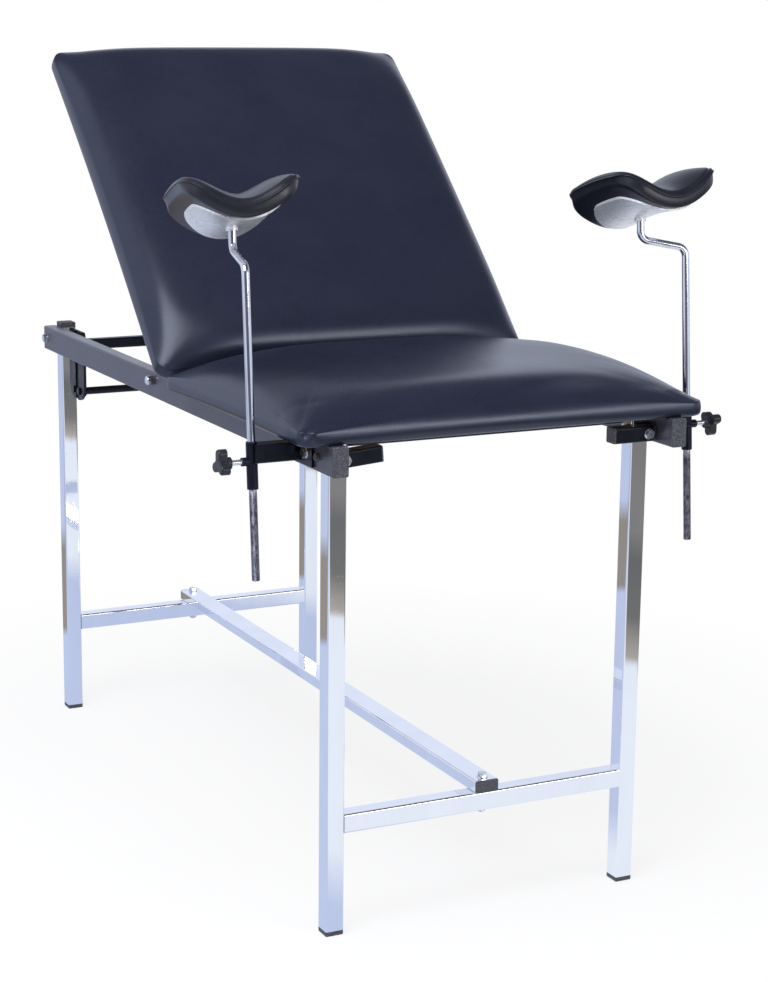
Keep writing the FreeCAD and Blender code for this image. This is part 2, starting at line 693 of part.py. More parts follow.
def basin_bars():
    """Short bars bolted to the front legs under the seat's front edge."""
    front_y = -leg_y - leg_size / 2
    middle_y = front_y - basin_bar_size / 2
    outer_x = rail_inner_x - basin_bar_rail_gap
    length = outer_x - basin_bar_inner_x
    caps = []
    bolts = []
    tube = hollow_bar(basin_bar_size, basin_bar_size, length - 2 * end_cap_thickness, leg_wall, tube_corner)
    cap = plug(basin_bar_size, basin_bar_size, end_cap_thickness, basin_plug_depth, leg_wall, tube_corner)
    for side, sx in SIDES:
        low_x = min(sx * basin_bar_inner_x, sx * outer_x)
        bar = along_x(tube, Vector(low_x + end_cap_thickness, middle_y, basin_bar_z))
        pivot = Vector(sx * leg_x, front_y - basin_bar_size, basin_bar_z)
        bar = drilled(bar, pivot - Y, Y, bolt_d + 2 * bolt_gap, basin_bar_size + 2)
        tilt = basin_bar_tilt_left if sx < 0 else 0.0
        export("basin_bar_" + side, turned(bar, pivot, Y, -tilt))
        for end_x, turn in ((low_x, 90), (low_x + length, -90)):
            laid = moved(turned(cap, Vector(), Y, turn), Vector(end_x, middle_y, basin_bar_z))
            caps.append(turned(laid, pivot, Y, -tilt))
        bolts.append(hex_bolt(pivot, Y, basin_bar_size + 2 * leg_wall + 2))
    export("basin_bar_caps", *caps)
    export("basin_bar_bolts", *bolts)


def lean_place(sx, rise):
    """A point on a stirrup rod's axis, so far along it from the arm's mid height."""
    return Vector(sx * sleeve_x, sleeve_y, arm_z) + rod_axis * rise


def stirrup_arm(side, sx):
    """A tube welded to a flange on the rail and to the leaning sleeve at its outer end."""
    outer = rail_outer_x + arm_flange_thickness
    tube = hollow_bar(arm_size, arm_size, sleeve_x - outer, arm_wall, tube_corner)
    tube = along_x(tube, Vector(outer if sx > 0 else -sleeve_x, sleeve_y, arm_z))
    low_x = min(sx * rail_outer_x, sx * outer)
    flange_end = sleeve_y + arm_size / 2
    flange = box(Vector(low_x, flange_end - arm_flange_length, arm_z - arm_flange_height / 2),
                 Vector(low_x + arm_flange_thickness, flange_end, arm_z + arm_flange_height / 2))
    flange = drilled(flange, Vector(low_x - 1, -leg_y, rail_bolt_z), X, bolt_d + 2 * bolt_gap,
                     arm_flange_thickness + 2)
    length = sleeve_top_rise + sleeve_low_drop
    sleeve = cylinder(lean_place(sx, -sleeve_low_drop), rod_axis, sleeve_d, length)
    boss_place = lean_place(sx, -boss_drop)
    boss = cylinder(boss_place, X * sx, boss_d, sleeve_d / 2 + boss_length)
    bore_d = sleeve_d - 2 * sleeve_wall
    arm = tube.fuse(flange).fuse(sleeve).fuse(boss).removeSplitter()
    arm = drilled(arm, lean_place(sx, -sleeve_low_drop - 1), rod_axis, bore_d, length + 2)
    arm = drilled(arm, boss_place, X * sx, clamp_screw_d + 2 * fit_gap, sleeve_d + boss_length)
    export("stirrup_arm_" + side, arm)

    liner_d = bore_d - 2 * fit_gap
    liner = cylinder(lean_place(sx, -sleeve_low_drop), rod_axis, liner_d, length + swing_gap)
    flange = cylinder(lean_place(sx, sleeve_top_rise + swing_gap), rod_axis, liner_flange_d,
                      liner_flange_height)
    liner = liner.fuse(flange).removeSplitter()
    export("sleeve_liner_" + side, drilled(liner, lean_place(sx, -sleeve_low_drop - 1), rod_axis,
                                           rod_d + 2 * fit_gap, length + liner_flange_height + 2))


def clamp(side, sx):
    """A lobed knob on a screw that pinches the rod through the sleeve's boss."""
    tip = sleeve_d / 2 - sleeve_wall + swing_gap
    hub_start = sleeve_d / 2 + boss_length + clamp_screw_shown
    place = lean_place(sx, -boss_drop)
    outward = X * sx
    screw = cylinder(place + outward * tip, outward, clamp_screw_d, hub_start + knob_hub_length - tip)
    hub = Part.makeCylinder(knob_hub_d / 2, knob_hub_length)
    hub = hub.cut(Part.makeCylinder(clamp_screw_d / 2, knob_hub_length))
    head = Part.makeCylinder(knob_hub_d / 2, knob_thickness)
    for i in range(knob_lobes):
        turn = math.radians(360 * i / knob_lobes)
        heading = Vector(math.cos(turn), math.sin(turn), 0)
        side_way = Vector(-heading.y, heading.x, 0) * (knob_lobe_d / 2)
        lobe = Part.makeCylinder(knob_lobe_d / 2, knob_thickness, heading * knob_lobe_reach)
        corners = (side_way, heading * knob_lobe_reach + side_way, heading * knob_lobe_reach - side_way,
                   side_way * -1, side_way)
        arm = Part.Face(Part.makePolygon(corners)).extrude(Vector(0, 0, knob_thickness))
        head = head.fuse(lobe).fuse(arm)
    head = head.removeSplitter()
    outer_edges = [e for e in head.Edges if e.BoundBox.ZMin > knob_thickness * 0.9]
    head = head.makeFillet(knob_thickness * 0.2, outer_edges)
    knob = hub.fuse(moved(head, Vector(0, 0, knob_hub_length))).removeSplitter()
    export("clamp_screw_" + side, screw)
    export("clamp_knob_" + side, aimed(knob, place + outward * hub_start, outward))


def bent_rod(points, radius):
    """A round rod along straight runs joined by tangent arcs."""
    edges = []
    start = points[0]
    for i in range(1, len(points) - 1):
        before = (points[i - 1] - points[i]).normalize()
        after = (points[i + 1] - points[i]).normalize()
        half = before.getAngle(after) / 2
        run = radius / math.tan(half)
        first = points[i] + before * run
        last = points[i] + after * run
        centre_way = (before + after).normalize()
        middle = points[i] + centre_way * (radius / math.sin(half) - radius)
        edges.append(Part.makeLine(start, first))
        edges.append(Part.Arc(first, middle, last).toShape())
        start = last
    edges.append(Part.makeLine(start, points[-1]))
    path = Part.Wire(edges)
    profile = Part.Wire(Part.makeCircle(rod_d / 2, points[0], points[1] - points[0]))
    return path.makePipeShell([profile], True, False)


def stirrup_rod(index, side, sx):
    """The rod, with its crank below the crutch, and the point where the crutch sits."""
    low = lean_place(sx, (rod_low_z[index] - arm_z) / math.cos(lean))
    corner = lean_place(sx, (rod_bend_z[index] - arm_z) / math.cos(lean))
    heading = math.radians(rod_offset_heading[index])
    crank = corner + Vector(math.cos(heading) * rod_offset, math.sin(heading) * rod_offset, rod_offset_rise)
    top = crank + rod_axis * (rod_stub + plate_boss_height)
    rod = bent_rod((low, corner, crank, top), rod_bend_radius)
    end_edges = [e for e in rod.Edges if e.Curve.TypeId == "Part::GeomCircle"
                 and e.BoundBox.ZMax < low.z + rod_d]
    export("stirrup_rod_" + side, rod.makeChamfer(1.0, end_edges))
    return crank + rod_axis * rod_stub


def crutch_point(across, share, rise):
    """A point over the crutch's middle surface: across it and along it in -1..1, and so far above it."""
    half = crutch_width / 2
    height = crutch_depth * ((1 + crutch_curl) * across ** 2 - crutch_curl * across ** 4)
    slope = crutch_depth / half * (2 * (1 + crutch_curl) * across - 4 * crutch_curl * across ** 3)
    size = math.sqrt(1 + slope * slope)
    width = half * (1 + (crutch_flare - 1) * share * share)
    return Vector(width * across - rise * slope / size, share * crutch_length / 2,
                  height - crutch_bow * share * share + rise / size)


def pad_under(across):
    return -crutch_thickness * (1 - crutch_thinning * across ** 4)


def crutch_section(share, reach, upper, lower):
    """One section across a crutch, between two curves given by their height over the middle surface."""
    steps = [reach * k / 8 for k in range(-8, 9)]
    curves = []
    for rise in (upper, lower):
        curve = Part.BSplineCurve()
        curve.interpolate([crutch_point(s, share, rise(s)) for s in steps])
        curves.append(curve)
    high, low = curves
    return Part.Wire([high.toShape(), Part.makeLine(high.EndPoint, low.EndPoint), low.toShape(),
                      Part.makeLine(low.StartPoint, high.StartPoint)])


def crutch_shell(width, length, corner, crown, upper, lower):
    """A curved sheet of the crutch, cut to round corners seen from above."""
    wires = []
    for step in (-1.0, -0.5, 0.0, 0.5, 1.0):
        share = step * length / crutch_length
        swell = crown * (1 - share * share)
        wires.append(crutch_section(share, width / crutch_width,
                                    lambda s: upper(s) + swell * (1 - s ** 4), lower))
    body = Part.makeLoft(wires, True, False)
    cutter = Part.Face(rounded_outline(width * crutch_flare, length, corner))
    cutter = cutter.extrude(Vector(0, 0, body.BoundBox.ZLength))
    return body.common(moved(cutter, Vector(0, 0, body.BoundBox.ZMin)))


def crutch(index, side, seat):
    """A moulded pad on a metal plate, whose boss takes the rod's end."""
    pad = crutch_shell(crutch_width, crutch_length, crutch_corner, crutch_crown, lambda s: 0.0, pad_under)
    plate = crutch_shell(plate_width, plate_length, plate_corner, 0.0,
                         lambda s: pad_under(s) - soft_gap,
                         lambda s: pad_under(s) - soft_gap - plate_thickness)
    low = crutch_thickness + soft_gap + plate_thickness + plate_boss_height
    boss = Part.makeCylinder(plate_boss_d / 2, plate_boss_height + plate_thickness / 2,
                             Vector(0, plate_boss_place, -low))
    plate = plate.fuse(boss).removeSplitter()
    pieces = []
    for shape in (pad, plate):
        piece = moved(shape, Vector(0, -plate_boss_place, low))
        piece = turned(piece, Vector(), Y, crutch_roll)
        piece = turned(piece, Vector(), X, -crutch_tilt)
        piece = turned(piece, Vector(), Z, crutch_yaw[index])
        pieces.append(moved(piece, seat))
    pad, plate = pieces
    hole = cylinder(seat - rod_axis * plate_boss_height, rod_axis, rod_d + 2 * fit_gap, 2 * plate_boss_height)
    export("crutch_pad_" + side, pad)
    export("crutch_plate_" + side, plate.cut(hole))


os.makedirs("parts", exist_ok=True)
legs()
lower_frame()
side_rails()
ties()
roll_holder()
hinge_pins()
prop()
backrest()
seat()
basin_bars()
for index, (side, sx) in enumerate(SIDES):
    stirrup_arm(side, sx)
    clamp(side, sx)
    crutch(index, side, stirrup_rod(index, side, sx))
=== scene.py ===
import bpy
import json
import math
import numpy as np
from mathutils import Matrix, Vector


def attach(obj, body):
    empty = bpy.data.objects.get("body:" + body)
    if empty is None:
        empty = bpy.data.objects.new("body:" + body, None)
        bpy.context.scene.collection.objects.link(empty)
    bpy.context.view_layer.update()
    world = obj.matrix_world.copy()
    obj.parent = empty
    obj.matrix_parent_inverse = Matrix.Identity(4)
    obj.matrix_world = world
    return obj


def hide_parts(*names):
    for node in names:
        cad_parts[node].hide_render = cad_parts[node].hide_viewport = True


# Examination table: upholstered seat and backrest, knee crutches, chrome and painted steel.
# Metres, in the part's frame: +X right seen from the foot end, +Y towards the head end, +Z up.

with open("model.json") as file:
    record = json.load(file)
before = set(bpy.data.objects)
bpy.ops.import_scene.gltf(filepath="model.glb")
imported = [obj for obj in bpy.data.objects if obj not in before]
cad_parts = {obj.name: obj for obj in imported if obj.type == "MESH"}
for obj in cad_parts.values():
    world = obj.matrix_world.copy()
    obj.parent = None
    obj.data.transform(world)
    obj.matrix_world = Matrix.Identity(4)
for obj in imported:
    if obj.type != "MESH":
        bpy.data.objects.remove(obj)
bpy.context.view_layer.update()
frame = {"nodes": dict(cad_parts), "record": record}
nodes = frame["nodes"]
scene = bpy.context.scene
scene.view_settings.view_transform = "Standard"

# Sizes shared with the part
PAD_WIDTH = 0.690
PAD_CORNER = 0.024
SEAT_FRONT = -0.693
SEAT_REAR = -0.136
SEAT_LOW = 0.7803
HINGE = Vector((0, -0.093, 0.765))
BACK_ANGLE = math.radians(43)
BACK_RISE = 0.0243
BACK_START = 0.008
BACK_LENGTH = 0.740
ROD_FOOT = Vector((0.379, -0.588, 0.7575))
ROD_LEAN = math.radians(4.7)
ROD_BEND_Z = {"left": 1.0285, "right": 1.0265}
ROD_HEADING = {"left": math.radians(81.3), "right": math.radians(166.3)}
ROD_OFFSET = 0.0754
ROD_OFFSET_RISE = 0.014
ROD_STUB = 0.0283
CRUTCH_WIDTH = 0.181
CRUTCH_LENGTH = 0.198
CRUTCH_DEPTH = 0.033
CRUTCH_CURL = 1.39
CRUTCH_THICKNESS = 0.025
CRUTCH_THINNING = 0.5
CRUTCH_CROWN = 0.016
CRUTCH_BOW = 0.0084
CRUTCH_FLARE = 1.026
CRUTCH_TILT = math.radians(15.4)
CRUTCH_ROLL = math.radians(-1.2)
CRUTCH_YAW = {"left": math.radians(-10.6), "right": math.radians(-0.4)}
CRUTCH_RISE = 0.0333
CRUTCH_BACK = 0.015
SIDES = {"left": -1, "right": 1}

# Rounder than the part's 31 mm, after the photograph
CRUTCH_CORNER = 0.044
CRUTCH_EDGE_POINTS = 128

# Cushions: sides bowed inwards, the underside's height and the hem's rings, all over the board's top
PAD_DRAW_IN = 0.0015
PAD_UNDERSIDE = 0.0022
UNDERSIDE_INSET = 0.0158
HEM_INSETS = (0.0128, 0.0105)
HEM_ROUND = 0.0020
HEM_DROP = -0.0014
HEM_DROP_ON_RAIL = -0.0002
RAIL_SPAN = (0.262, 0.315)
CORNER_STEPS = 12
SIDE_STEPS = 36
CROWN_STEPS = 33

# Cushions as cloth: how far below its form the crown starts, and how far a point may move
CLOTH_SLACK = 0.002
CLOTH_REACH = 0.003
CLOTH_FRAMES = 20
CLOTH_PRESSURE = 12.0
CLOTH_STIFFNESS = 25.0
CLOTH_BENDING = 5.0
EVENING_ROUNDS = 40

# Folded corners: the dimple at the band's top with its lips, and the crease further in
FOLD_DEPTH = 0.0036
FOLD_LIP = 0.0012
FOLD_HEIGHT = 0.0185
CREASE_DEPTH = 0.0012
CREASE_AWAY = 0.100

FLOOR_HALF = 9
FLOOR_DROP = 0.0004
CAMERA_PLACE = (-1.60525, -3.48248, 1.39029)
CAMERA_ANGLES = (-26.49, 12.35, 0.66)       # azimuth, pitch, roll in degrees
CAMERA_SENSOR = 36.0
CAMERA_LENS = 80.5


class Shading:
    """Builds a node tree from nothing."""

    def __init__(self, tree):
        self.tree = tree
        self.tree.nodes.clear()

    def add(self, kind, **sockets):
        n = self.tree.nodes.new(kind)
        for key, value in sockets.items():
            n.inputs[key.replace("_", " ")].default_value = value
        return n

    def link(self, source, target):
        self.tree.links.new(source, target)

    def math(self, operation, a, b):
        n = self.add("ShaderNodeMath")
        n.operation = operation
        for socket, value in zip(n.inputs, (a, b)):
            if isinstance(value, (int, float)):
                socket.default_value = value
            else:
                self.link(value, socket)
        return n.outputs["Value"]

    def between(self, value, low, high, at_low=0.0, at_high=1.0):
        n = self.add("ShaderNodeMapRange", From_Min=low, From_Max=high, To_Min=at_low, To_Max=at_high)
        self.link(value, n.inputs["Value"])
        return n.outputs["Result"]

    def dot(self, vector, way):
        n = self.add("ShaderNodeVectorMath")
        n.operation = "DOT_PRODUCT"
        n.inputs[1].default_value = way
        self.link(vector, n.inputs[0])
        return n.outputs["Value"]

    def ramp(self, value, *stops):
        n = self.add("ShaderNodeValToRGB")
        elements = n.color_ramp.elements
        while len(elements) < len(stops):
            elements.new(0.5)
        for element, (position, colour) in zip(elements, stops):
            element.position = position
            element.color = (*colour, 1)
        self.link(value, n.inputs["Fac"])
        return n.outputs["Color"]

    def mix(self, share, a, b):
        n = self.add("ShaderNodeMix")
        n.data_type = "RGBA"
        self.link(share, n.inputs["Factor"])
        for socket, value in ((n.inputs[6], a), (n.inputs[7], b)):
            if isinstance(value, tuple):
                socket.default_value = (*value, 1)
            else:
                self.link(value, socket)
        return n.outputs[2]

    def blend(self, share, a, b):
        """Mixes two shaders."""
        n = self.add("ShaderNodeMixShader")
        for source, target in ((share, n.inputs["Fac"]), (a, n.inputs[1]), (b, n.inputs[2])):
            self.link(source, target)
        return n.outputs["Shader"]


class Finish(Shading):
    """One procedural material around a Principled shader."""

    def __init__(self, name, **sockets):
        self.material = bpy.data.materials.new(name)
        self.material.use_nodes = True
        super().__init__(self.material.node_tree)
        self.output = self.add("ShaderNodeOutputMaterial")
        self.shader = self.add("ShaderNodeBsdfPrincipled", **sockets)
        self.link(self.shader.outputs["BSDF"], self.output.inputs["Surface"])

    def position(self):
        """Place at rest in the part's frame, because the pieces' meshes lie in it."""
        return self.add("ShaderNodeTexCoord").outputs["Object"]

    def axes(self):
        n = self.add("ShaderNodeSeparateXYZ")
        self.link(self.position(), n.inputs["Vector"])
        return n.outputs

    def place(self, stretch):
        mapping = self.add("ShaderNodeMapping", Scale=stretch)
        self.link(self.position(), mapping.inputs["Vector"])
        return mapping.outputs["Vector"]

    def noise(self, scale, detail=3.0, roughness=0.5, stretch=(1, 1, 1)):
        n = self.add("ShaderNodeTexNoise", Scale=scale, Detail=detail, Roughness=roughness)
        self.link(self.place(stretch), n.inputs["Vector"])
        return n.outputs["Fac"]

    def cells(self, scale, smooth=0.6):
        n = self.add("ShaderNodeTexVoronoi")
        n.feature = "SMOOTH_F1"
        n.inputs["Scale"].default_value = scale
        n.inputs["Smoothness"].default_value = smooth
        self.link(self.place((1, 1, 1)), n.inputs["Vector"])
        return n.outputs["Distance"]

    def bump(self, height, distance, strength=1.0, over=None):
        n = self.add("ShaderNodeBump", Distance=distance, Strength=strength)
        self.link(height, n.inputs["Height"])
        if over is not None:
            self.link(over, n.inputs["Normal"])
        return n.outputs["Normal"]

    def wear(self, colour, roughness, normal):
        for name, value in (("Base Color", colour), ("Roughness", roughness), ("Normal", normal)):
            self.link(value, self.shader.inputs[name])
        return self.material


def chrome_tube():
    f = Finish("chrome_tube", Metallic=1.0)
    smear = f.noise(14, 5, 0.6, (1, 1, 0.25))
    spots = f.noise(160, 3, 0.6)
    wave = f.noise(10, 2, 0.4, (1, 1, 0.35))
    colour = f.ramp(smear, (0.25, (0.84, 0.85, 0.89)), (0.75, (0.93, 0.94, 0.97)))
    rough = f.math("ADD", f.between(smear, 0.3, 0.8, 0.02, 0.06), f.between(spots, 0.62, 0.75, 0.0, 0.12))
    return f.wear(colour, rough, f.bump(wave, 0.0012, 0.35))


def rod_chrome():
    """Chrome rod: bright above the sleeve; below it darker and rougher, and ribbed by the clamp."""
    f = Finish("rod_chrome", Metallic=1.0)
    # Below the sleeve the rod gets a much darker, flecked colour and more roughness
    low = f.between(f.axes()["Z"], 0.690, 0.715, 1.0, 0.0)
    ribs = f.add("ShaderNodeTexWave", Scale=210, Distortion=1.4)
    ribs.bands_direction = "Z"
    f.link(f.place((1, 1, 1)), ribs.inputs["Vector"])
    fleck = f.noise(240, 4, 0.65, (1, 1, 0.4))
    streak = f.noise(30, 4, 0.6, (1, 1, 0.15))
    bright = f.ramp(streak, (0.3, (0.58, 0.58, 0.62)), (0.7, (0.82, 0.83, 0.88)))
    darker_below = f.ramp(fleck, (0.35, (0.06, 0.06, 0.075)), (0.7, (0.33, 0.33, 0.38)))
    rough = f.math("ADD", f.between(low, 0, 1, 0.08, 0.30), f.between(fleck, 0.5, 0.8, 0.0, 0.12))
    ridge = f.math("MULTIPLY", ribs.outputs["Fac"], low)
    return f.wear(f.mix(low, bright, darker_below), rough, f.bump(ridge, 0.0006, 0.7))


def zinc_steel():
    f = Finish("zinc_steel", Metallic=1.0)
    grain = f.noise(420, 4, 0.6)
    cloud = f.noise(70, 3, 0.6)
    colour = f.ramp(cloud, (0.3, (0.62, 0.63, 0.66)), (0.7, (0.84, 0.85, 0.88)))
    return f.wear(colour, f.between(grain, 0.3, 0.8, 0.16, 0.36), f.bump(grain, 0.0002, 0.3))


def rail_paint():
    f = Finish("rail_paint", Specular_IOR_Level=0.5)
    peel = f.noise(420, 2, 0.5)
    cloud = f.noise(5, 4, 0.6)
    dust = f.noise(900, 2, 0.7)
    colour = f.ramp(cloud, (0.3, (0.046, 0.045, 0.062)), (0.7, (0.060, 0.058, 0.078)))
    colour = f.mix(f.between(dust, 0.70, 0.80), colour, (0.10, 0.10, 0.125))
    return f.wear(colour, f.between(cloud, 0.3, 0.7, 0.24, 0.32), f.bump(peel, 0.0003, 0.25))


def black_paint():
    f = Finish("black_paint", Specular_IOR_Level=0.32, Specular_Tint=(0.75, 0.80, 1.0, 1.0))
    peel = f.noise(500, 2, 0.5)
    rub = f.noise(40, 5, 0.65)
    dust = f.noise(1300, 2, 0.7)
    colour = f.ramp(rub, (0.35, (0.0022, 0.0025, 0.0060)), (0.75, (0.0055, 0.0060, 0.0115)))
    colour = f.mix(f.between(dust, 0.72, 0.82), colour, (0.04, 0.04, 0.055))
    return f.wear(colour, f.between(rub, 0.3, 0.8, 0.26, 0.42), f.bump(peel, 0.0004, 0.4))


def cap_plastic():
    """Spark-textured plug plastic with pale scuffs on its grain."""
    f = Finish("cap_plastic")
    grain = f.cells(620)
    speck = f.noise(760, 3, 0.7)
    colour = f.ramp(speck, (0.42, (0.030, 0.030, 0.038)), (0.57, (0.075, 0.076, 0.092)),
                    (0.70, (0.30, 0.30, 0.34)))
    return f.wear(colour, f.between(speck, 0.3, 0.8, 0.45, 0.65), f.bump(grain, 0.0007, 0.6))


def knob_plastic():
    f = Finish("knob_plastic")
    grain = f.noise(700, 3, 0.6)
    cloud = f.noise(60, 3, 0.5)
    colour = f.ramp(cloud, (0.3, (0.010, 0.010, 0.014)), (0.7, (0.020, 0.020, 0.027)))
    return f.wear(colour, f.between(grain, 0.3, 0.7, 0.30, 0.44), f.bump(grain, 0.0003, 0.35))


def nylon():
    f = Finish("nylon")
    grain = f.noise(500, 2, 0.5)
    colour = f.ramp(grain, (0.3, (0.012, 0.012, 0.015)), (0.7, (0.024, 0.024, 0.029)))
    return f.wear(colour, f.between(grain, 0.3, 0.7, 0.38, 0.5), f.bump(grain, 0.0002, 0.3))


def vinyl():
    """Coated fabric with a fine pressed grain."""
    f = Finish("vinyl", Specular_IOR_Level=0.6, Specular_Tint=(0.80, 0.85, 1.0, 1.0))
    pores = f.cells(720, 0.45)
    grit = f.noise(1500, 2, 0.6)
    cloud = f.noise(7, 4, 0.55)
    soft = f.noise(16, 3, 0.5)
    colour = f.ramp(cloud, (0.25, (0.0105, 0.0125, 0.0265)), (0.75, (0.0150, 0.0172, 0.0335)))
    rough = f.math("ADD", f.between(cloud, 0.3, 0.7, 0.26, 0.30), f.between(grit, 0.3, 0.8, -0.02, 0.04))
    slack = f.bump(soft, 0.004, 0.10)
    grained = f.bump(pores, 0.0004, 0.18, slack)
    return f.wear(colour, rough, f.bump(grit, 0.0003, 0.1, grained))


def plywood():
    f = Finish("plywood")
    rings = f.add("ShaderNodeTexWave", Scale=9, Distortion=7, Detail=4, Detail_Scale=1.6)
    f.link(f.place((1, 0.12, 0.12)), rings.inputs["Vector"])
    fibre = f.noise(90, 5, 0.7, (1, 0.04, 0.04))
    colour = f.ramp(rings.outputs["Fac"], (0.1, (0.43, 0.29, 0.155)), (0.6, (0.49, 0.34, 0.185)),
                    (0.95, (0.54, 0.385, 0.22)))
    colour = f.mix(f.between(fibre, 0.45, 0.7, 0.0, 0.45), colour, (0.30, 0.19, 0.10))
    return f.wear(colour, f.between(fibre, 0.3, 0.7, 0.55, 0.75), f.bump(fibre, 0.0005, 0.4))


def crutch_foam():
    """Self-skinned moulded foam."""
    f = Finish("crutch_foam", Specular_IOR_Level=0.5)
    pores = f.cells(900, 0.4)
    cloud = f.noise(25, 3, 0.5)
    colour = f.ramp(cloud, (0.3, (0.0085, 0.009, 0.016)), (0.7, (0.0110, 0.0115, 0.020)))
    return f.wear(colour, f.between(cloud, 0.3, 0.7, 0.30, 0.34), f.bump(pores, 0.0003, 0.15))


def aluminium_plate():
    """Brushed along the crutch's width, with coarse streaks."""
    f = Finish("aluminium_plate", Metallic=0.7, Anisotropic=0.5)
    fine = f.noise(60, 4, 0.7, (1.6, 14, 14))
    coarse = f.noise(26, 4, 0.7, (1.2, 16, 16))
    colour = f.ramp(coarse, (0.36, (0.58, 0.58, 0.58)), (0.46, (0.94, 0.94, 0.94)), (0.60, (1.0, 1.0, 1.0)))
    return f.wear(colour, f.between(fine, 0.3, 0.7, 0.28, 0.48), f.bump(fine, 0.0006, 0.5))


FINISHES = {maker.__name__: maker() for maker in (
    chrome_tube, zinc_steel, rail_paint, black_paint, cap_plastic, knob_plastic, nylon, vinyl, plywood,
    crutch_foam, aluminium_plate)}
ROD_FINISH = rod_chrome()
for subpart in frame["record"]["subparts"]:
    name = subpart["node"]
    finish = FINISHES[subpart["material_slot"]]
    if name.startswith("stirrup_rod"):
        finish = ROD_FINISH
    mesh = nodes[name].data
    if not mesh.materials:
        mesh.materials.append(finish)
    for place in nodes[name].material_slots:
        place.material = finish


# Meshes

CORNERS = ((1, -1), (1, 1), (-1, 1), (-1, -1))
QUARTER_TURNS = ((1, 0), (0, 1), (-1, 0), (0, -1))      # cosine and sine


def add_mesh(name, points, faces):
    mesh = bpy.data.meshes.new(name)
    mesh.from_pydata([tuple(p) for p in points], [], faces)
    mesh.update()
    obj = bpy.data.objects.new(name, mesh)
    scene.collection.objects.link(obj)
    return obj


def rings_to_faces(count, rings):
    """Quads between rings of equal count, with a fan from one more point over the first ring and from
    another over the last."""
    faces = []
    for r in range(rings - 1):
        for i in range(count):
            j = (i + 1) % count
            faces.append((r * count + i, r * count + j, (r + 1) * count + j, (r + 1) * count + i))
    low, high = rings * count, rings * count + 1
    for i in range(count):
        j = (i + 1) % count
        faces.append((low, j, i))
        faces.append((high, (rings - 1) * count + i, (rings - 1) * count + j))
    return faces


def corner_arc(number, half_x, half_y, radius, steps):
    """Points round one of a rectangle's corners, which follow each other as in CORNERS."""
    sx, sy = CORNERS[number]
    start = math.radians(-90 + 90 * number)
    arc = []
    for k in range(steps + 1):
        turn = start + math.radians(90) * k / steps
        arc.append((sx * (half_x - radius) + radius * math.cos(turn),
                    sy * (half_y - radius) + radius * math.sin(turn)))
    return arc


def coordinates(mesh):
    flat = np.empty(len(mesh.vertices) * 3)
    mesh.vertices.foreach_get("co", flat)
    return flat.reshape(-1, 3)


def normals(mesh):
    flat = np.empty(len(mesh.vertices) * 3)
    mesh.vertex_normals.foreach_get("vector", flat)
    return flat.reshape(-1, 3)


def set_coordinates(mesh, points):
    mesh.vertices.foreach_set("co", np.ascontiguousarray(points, dtype=float).ravel())
    mesh.update()


def dress(obj, finish):
    """Gives a pad its material and a smooth, finer surface."""
    obj.data.materials.append(finish)
    obj.data.polygons.foreach_set("use_smooth", [True] * len(obj.data.polygons))
    fine = obj.modifiers.new("fine", "SUBSURF")
    fine.levels = 1
    fine.render_levels = 1


# Cushions

def pad_outline(half_x, half_y, corner):
    """Round corners, with sides that bow inwards between them."""
    points = []
    for number, (c, s) in enumerate(QUARTER_TURNS):
        points += corner_arc(number, half_x, half_y, corner, CORNER_STEPS)
        out, run = (half_x, half_y - corner) if number % 2 == 0 else (half_y, half_x - corner)
        for k in range(1, SIDE_STEPS):
            share = -1 + 2 * k / SIDE_STEPS
            bowed = out - PAD_DRAW_IN * (1 - share * share)
            points.append((c * bowed - s * share * run, s * bowed + c * share * run))
    return np.array(points)


